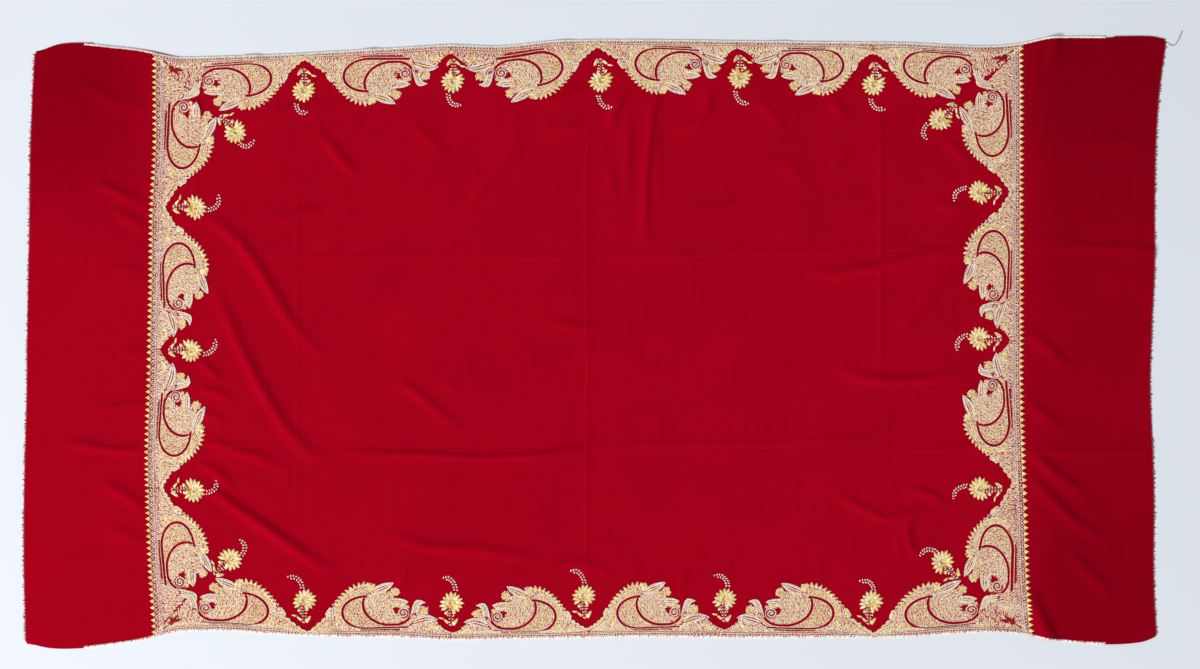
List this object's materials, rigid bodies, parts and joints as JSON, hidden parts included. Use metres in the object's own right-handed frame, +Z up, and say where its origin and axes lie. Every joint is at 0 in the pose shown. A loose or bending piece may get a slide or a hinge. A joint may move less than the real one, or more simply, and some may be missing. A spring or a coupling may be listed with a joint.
{
  "type": "embroidered wool shawl",
  "caption": "Rectangular wool shawl laid flat with soft folds, needlework paisley borders, flower sprigs, whip-stitched long edges and frayed short ends.",
  "frame": {"origin": "on the surface that the shawl lies on, under the middle of the box round the whole shawl", "axes": "+X along the length, +Y across the width to the far long edge, +Z up out of the right side of the cloth"},
  "size_m": [2.0486, 1.0966, 0.0075],
  "materials": {
    "wool": "soft crimson twill-woven wool with a faint nap",
    "needlework": "dense cream, pink-white and gold needlework over the wool",
    "goldwork": "satin-stitched gold silk flowers with cream feather stitches",
    "whip_stitch": "cream and pink whip stitches",
    "wool_fringe": "frayed crimson wool ends"
  },
  "bodies": {
    "root": {"cloth": "wool", "border_far_1": "needlework", "border_far_2": "needlework", "border_far_3": "needlework", "border_far_4": "needlework", "border_far_5": "needlework", "border_far_6": "needlework", "border_near_1": "needlework", "border_near_2": "needlework", "border_near_3": "needlework", "border_near_4": "needlework", "border_near_5": "needlework", "border_near_6": "needlework", "border_left_1": "needlework", "border_left_2": "needlework", "border_left_3": "needlework", "border_left_4": "needlework", "border_right_1": "needlework", "border_right_2": "needlework", "border_right_3": "needlework", "border_right_4": "needlework", "sprig_far_1": "goldwork", "sprig_far_2": "goldwork", "sprig_far_3": "goldwork", "sprig_far_4": "goldwork", "sprig_far_5": "goldwork", "sprig_near_1": "goldwork", "sprig_near_2": "goldwork", "sprig_near_3": "goldwork", "sprig_near_4": "goldwork", "sprig_near_5": "goldwork", "sprig_left_1": "goldwork", "sprig_left_2": "goldwork", "sprig_left_3": "goldwork", "sprig_right_1": "goldwork", "sprig_right_2": "goldwork", "sprig_right_3": "goldwork", "sprig_corner_far_left": "goldwork", "sprig_corner_far_right": "goldwork", "sprig_corner_near_left": "goldwork", "sprig_corner_near_right": "goldwork", "edging_far": "whip_stitch", "edging_near": "whip_stitch", "fringe_left": "wool_fringe", "fringe_right": "wool_fringe"}
  },
  "joints": []
}
